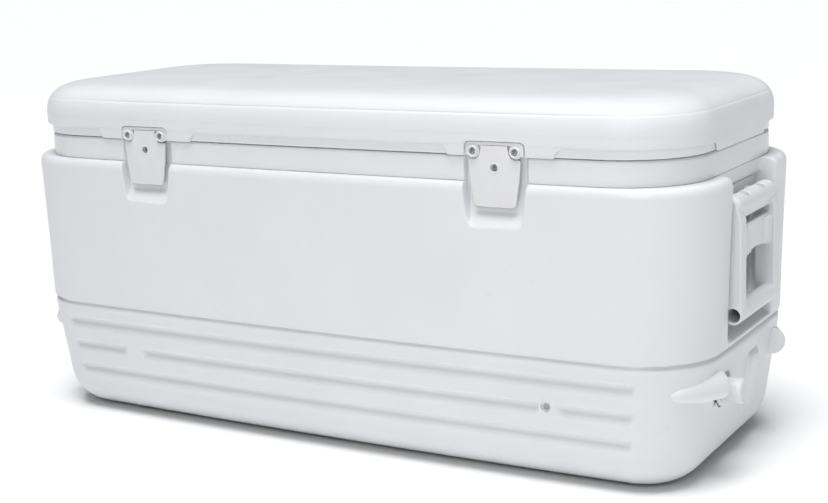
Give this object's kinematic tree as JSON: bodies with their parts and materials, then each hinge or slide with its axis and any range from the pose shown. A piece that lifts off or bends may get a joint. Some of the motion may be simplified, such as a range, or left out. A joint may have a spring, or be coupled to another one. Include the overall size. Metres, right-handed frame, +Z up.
{
  "type": "chest cooler",
  "caption": "Large white marine-style chest cooler with a hinged insulated lid, snap latches, swing-up end handles and a screw-capped drain.",
  "frame": {"origin": "centre of the whole object's footprint, on the ground", "axes": "+X along the length towards the drain end, -Y is the latch side, +Z up"},
  "size_m": [1.0034, 0.42, 0.457],
  "materials": {
    "shell_plastic": "satin moulded white polyethylene, very fine grain",
    "liner_plastic": "smooth moulded white polypropylene",
    "trim_plastic": "satin moulded white plastic, slightly warmer than the shell",
    "foam": "rigid closed-cell insulating foam",
    "steel": "stainless steel screws and pins",
    "rubber": "black sealing rubber"
  },
  "bodies": {
    "root": {"body_shell": "shell_plastic", "body_liner": "liner_plastic", "body_foam": "foam", "hinge_left_body_leaf": "trim_plastic", "hinge_left_pin": "steel", "hinge_left_screw_1": "steel", "hinge_left_screw_2": "steel", "hinge_middle_body_leaf": "trim_plastic", "hinge_middle_pin": "steel", "hinge_middle_screw_1": "steel", "hinge_middle_screw_2": "steel", "hinge_right_body_leaf": "trim_plastic", "hinge_right_pin": "steel", "hinge_right_screw_1": "steel", "hinge_right_screw_2": "steel", "latch_left_keeper": "trim_plastic", "latch_left_keeper_screw": "steel", "latch_right_keeper": "trim_plastic", "latch_right_keeper_screw": "steel", "handle_right_bracket": "trim_plastic", "handle_right_pin": "steel", "handle_right_screw_1": "steel", "handle_right_screw_2": "steel", "handle_left_bracket": "trim_plastic", "handle_left_pin": "steel", "handle_left_screw_1": "steel", "handle_left_screw_2": "steel", "drain_fitting": "trim_plastic", "drain_seal": "rubber", "drain_nut": "trim_plastic", "foam_plug_left": "trim_plastic", "foam_plug_right": "trim_plastic"},
    "lid": {"lid_shell": "shell_plastic", "lid_liner": "liner_plastic", "lid_foam": "foam", "hinge_left_lid_leaf": "trim_plastic", "hinge_left_screw_3": "steel", "hinge_left_screw_4": "steel", "hinge_middle_lid_leaf": "trim_plastic", "hinge_middle_screw_3": "steel", "hinge_middle_screw_4": "steel", "hinge_right_lid_leaf": "trim_plastic", "hinge_right_screw_3": "steel", "hinge_right_screw_4": "steel", "latch_left_frame": "trim_plastic", "latch_left_screw_1": "steel", "latch_left_screw_2": "steel", "latch_right_frame": "trim_plastic", "latch_right_screw_1": "steel", "latch_right_screw_2": "steel"},
    "latch_left": {"latch_left_flap": "trim_plastic"},
    "latch_right": {"latch_right_flap": "trim_plastic"},
    "handle_left": {"handle_left_grip": "trim_plastic"},
    "handle_right": {"handle_right_grip": "trim_plastic"},
    "drain_washer": {"drain_cap_washer": "rubber"},
    "drain_cap": {"drain_cap": "trim_plastic"}
  },
  "joints": [
    {"name": "lid_hinge", "type": "hinge", "parent": "root", "child": "lid", "pos_m": [0, 0.2055, 0.3856], "axis": [-1, 0, 0], "range_deg": [0, 100]},
    {"name": "latch_left_hinge", "type": "hinge", "parent": "lid", "child": "latch_left", "pos_m": [-0.25425, -0.2032, 0.398], "axis": [-1, 0, 0], "range_deg": [0, 110]},
    {"name": "latch_right_hinge", "type": "hinge", "parent": "lid", "child": "latch_right", "pos_m": [0.24975, -0.2032, 0.398], "axis": [-1, 0, 0], "range_deg": [0, 110]},
    {"name": "handle_left_hinge", "type": "hinge", "parent": "root", "child": "handle_left", "pos_m": [-0.48525, 0, 0.32], "axis": [0, 1, 0], "range_deg": [0, 95]},
    {"name": "handle_right_hinge", "type": "hinge", "parent": "root", "child": "handle_right", "pos_m": [0.48075, 0, 0.32], "axis": [0, -1, 0], "range_deg": [0, 95]},
    {"name": "drain_cap_advance", "type": "slide", "parent": "root", "child": "drain_washer", "axis": [1, 0, 0], "range_m": [0, 0.0091]},
    {"name": "drain_cap_turn", "type": "hinge", "parent": "drain_washer", "child": "drain_cap", "pos_m": [0.48775, -0.075, 0.107], "axis": [1, 0, 0], "range_deg": [0, 1080]}
  ],
  "couplings": [
    {"joint": "drain_cap_advance", "follows": "drain_cap_turn", "m_per_rad": 0.00047746}
  ]
}
